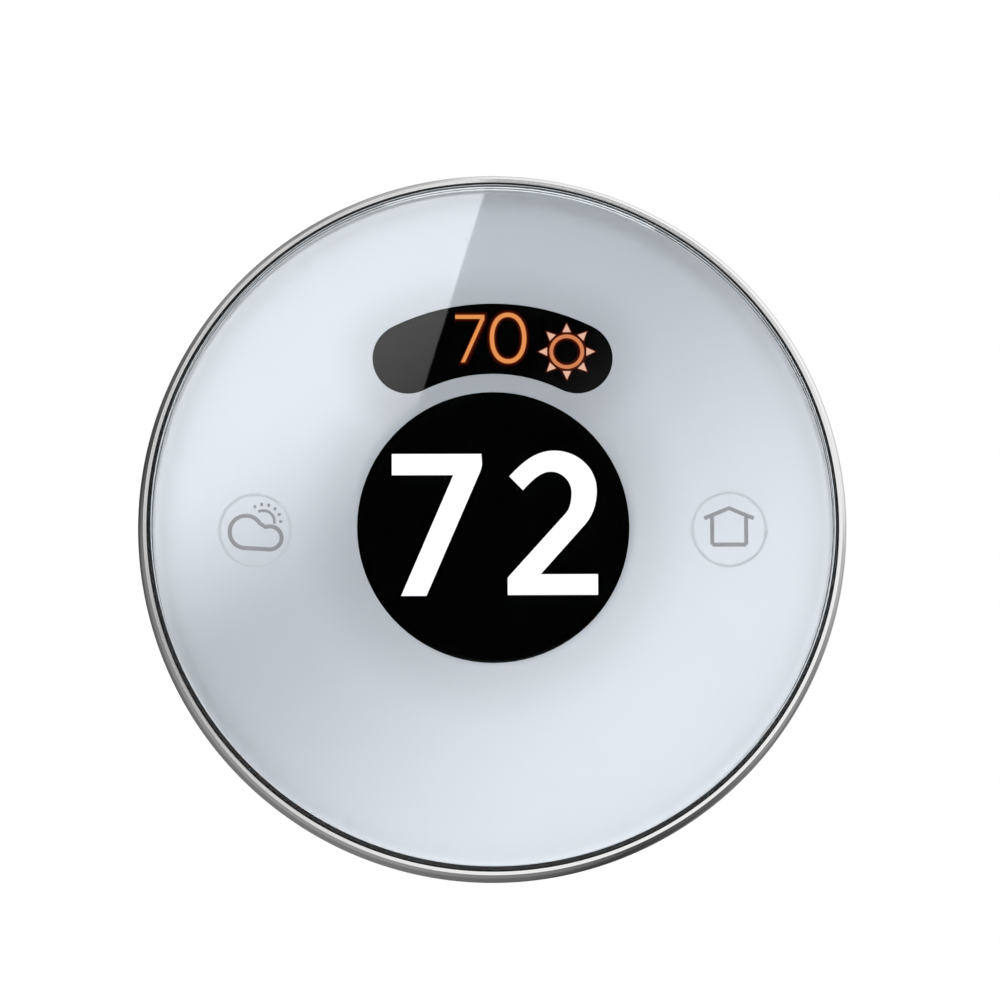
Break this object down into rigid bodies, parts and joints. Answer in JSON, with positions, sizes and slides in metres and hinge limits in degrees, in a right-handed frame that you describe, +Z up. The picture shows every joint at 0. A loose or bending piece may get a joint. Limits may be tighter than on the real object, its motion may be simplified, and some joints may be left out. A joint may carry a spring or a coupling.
{
  "type": "wall thermostat",
  "caption": "Round wall thermostat: glossy pale face with a black round display and an arched window, in a metal control ring, on a wall plate with push-in wire terminals.",
  "frame": {"origin": "on the wall, at the centre of the thermostat: the middle between the two screw slots in the back face of the wall plate", "axes": "+Z up the wall, -Y out of the wall into the room (the way the face looks), +X to the right as seen from the room"},
  "size_m": [0.089, 0.03, 0.089],
  "materials": {
    "white_shell": "moulded, fine texture",
    "plate_white": "moulded, satin",
    "terminal_grey": "moulded, satin",
    "tab_orange": "moulded, satin",
    "clamp_brass": "stamped spring strip",
    "level_clear": "clear acrylic tube",
    "level_green": "tinted level fluid",
    "cap_black": "moulded",
    "frame_dark": "glass-filled, moulded",
    "guide_opal": "opal light guide",
    "bearing_ivory": "self-lubricating acetal",
    "board_green": "solder mask",
    "led_yellow": "LED package",
    "relay_white": "moulded",
    "chip_black": "moulded epoxy",
    "can_steel": "tin plated",
    "contact_nickel": "nickel plated spring steel",
    "pin_gold": "gold plated",
    "sleeve_blue": "shrink sleeve",
    "battery_sleeve": "printed shrink sleeve, no print shown",
    "lcd_black": "display glass, off parts black",
    "backlight_white": "diffuser",
    "flex_amber": "polyimide",
    "mask_silver": "pale silver print on film",
    "tape_black": "foam tape",
    "lens_clear": "polished, clear",
    "screw_steel": "zinc plated",
    "ring_metal": "polished bevel, satin side",
    "magnet_black": "bonded magnet"
  },
  "bodies": {
    "wall_plate": {"wall_plate": "plate_white", "terminal_block_left": "terminal_grey", "terminal_block_right": "terminal_grey", "terminal_clamps_left": "clamp_brass", "terminal_clamps_right": "clamp_brass", "level_vial": "level_clear", "level_liquid": "level_green", "level_end_caps": "cap_black"},
    "display_unit": {"rear_housing": "white_shell", "front_housing": "frame_dark", "halo_light_guide": "guide_opal", "halo_led_strip": "board_green", "halo_leds": "led_yellow", "glide_ring_front": "bearing_ivory", "glide_ring_rear": "bearing_ivory", "main_board": "board_green", "display_board": "board_green", "relays": "relay_white", "board_connector": "chip_black", "wifi_module": "can_steel", "microcontroller": "chip_black", "storage_capacitors": "sleeve_blue", "hall_sensors": "chip_black", "humidity_sensor": "chip_black", "pin_header_left": "cap_black", "pin_header_right": "cap_black", "header_pins": "pin_gold", "battery_contact": "contact_nickel", "battery_spring": "contact_nickel", "lcd_panel": "lcd_black", "lcd_backlight": "backlight_white", "lcd_frame": "backlight_white", "lcd_flex_cable": "flex_amber", "proximity_sensor": "chip_black", "touch_springs": "contact_nickel", "face_mask": "mask_silver", "lens_adhesive": "tape_black", "front_lens": "lens_clear", "housing_screws": "screw_steel", "display_board_screws": "screw_steel", "main_board_screws": "screw_steel"},
    "control_ring": {"control_ring": "ring_metal", "encoder_magnet_ring": "magnet_black"},
    "battery": {"battery": "battery_sleeve"},
    "terminal_tab_left_1": {"terminal_tab_left_1": "tab_orange"},
    "terminal_tab_left_2": {"terminal_tab_left_2": "tab_orange"},
    "terminal_tab_left_3": {"terminal_tab_left_3": "tab_orange"},
    "terminal_tab_left_4": {"terminal_tab_left_4": "tab_orange"},
    "terminal_tab_left_5": {"terminal_tab_left_5": "tab_orange"},
    "terminal_tab_right_1": {"terminal_tab_right_1": "tab_orange"},
    "terminal_tab_right_2": {"terminal_tab_right_2": "tab_orange"},
    "terminal_tab_right_3": {"terminal_tab_right_3": "tab_orange"},
    "terminal_tab_right_4": {"terminal_tab_right_4": "tab_orange"},
    "terminal_tab_right_5": {"terminal_tab_right_5": "tab_orange"}
  },
  "joints": [
    {"name": "unit_pull_off", "type": "slide", "parent": "wall_plate", "child": "display_unit", "axis": [0, -1, 0], "range_m": [0, 0.04]},
    {"name": "ring_turn", "type": "hinge", "parent": "display_unit", "child": "control_ring", "pos_m": [0, 0, 0], "axis": [0, 1, 0], "continuous": true},
    {"name": "battery_out", "type": "slide", "parent": "display_unit", "child": "battery", "axis": [0, 1, 0], "range_m": [0, 0.02]},
    {"name": "terminal_tab_left_1_press", "type": "slide", "parent": "wall_plate", "child": "terminal_tab_left_1", "axis": [0, 1, 0], "range_m": [0, 0.0016], "stiffness_N_per_m": 1500, "springref_m": -0.0004},
    {"name": "terminal_tab_left_2_press", "type": "slide", "parent": "wall_plate", "child": "terminal_tab_left_2", "axis": [0, 1, 0], "range_m": [0, 0.0016], "stiffness_N_per_m": 1500, "springref_m": -0.0004},
    {"name": "terminal_tab_left_3_press", "type": "slide", "parent": "wall_plate", "child": "terminal_tab_left_3", "axis": [0, 1, 0], "range_m": [0, 0.0016], "stiffness_N_per_m": 1500, "springref_m": -0.0004},
    {"name": "terminal_tab_left_4_press", "type": "slide", "parent": "wall_plate", "child": "terminal_tab_left_4", "axis": [0, 1, 0], "range_m": [0, 0.0016], "stiffness_N_per_m": 1500, "springref_m": -0.0004},
    {"name": "terminal_tab_left_5_press", "type": "slide", "parent": "wall_plate", "child": "terminal_tab_left_5", "axis": [0, 1, 0], "range_m": [0, 0.0016], "stiffness_N_per_m": 1500, "springref_m": -0.0004},
    {"name": "terminal_tab_right_1_press", "type": "slide", "parent": "wall_plate", "child": "terminal_tab_right_1", "axis": [0, 1, 0], "range_m": [0, 0.0016], "stiffness_N_per_m": 1500, "springref_m": -0.0004},
    {"name": "terminal_tab_right_2_press", "type": "slide", "parent": "wall_plate", "child": "terminal_tab_right_2", "axis": [0, 1, 0], "range_m": [0, 0.0016], "stiffness_N_per_m": 1500, "springref_m": -0.0004},
    {"name": "terminal_tab_right_3_press", "type": "slide", "parent": "wall_plate", "child": "terminal_tab_right_3", "axis": [0, 1, 0], "range_m": [0, 0.0016], "stiffness_N_per_m": 1500, "springref_m": -0.0004},
    {"name": "terminal_tab_right_4_press", "type": "slide", "parent": "wall_plate", "child": "terminal_tab_right_4", "axis": [0, 1, 0], "range_m": [0, 0.0016], "stiffness_N_per_m": 1500, "springref_m": -0.0004},
    {"name": "terminal_tab_right_5_press", "type": "slide", "parent": "wall_plate", "child": "terminal_tab_right_5", "axis": [0, 1, 0], "range_m": [0, 0.0016], "stiffness_N_per_m": 1500, "springref_m": -0.0004}
  ]
}
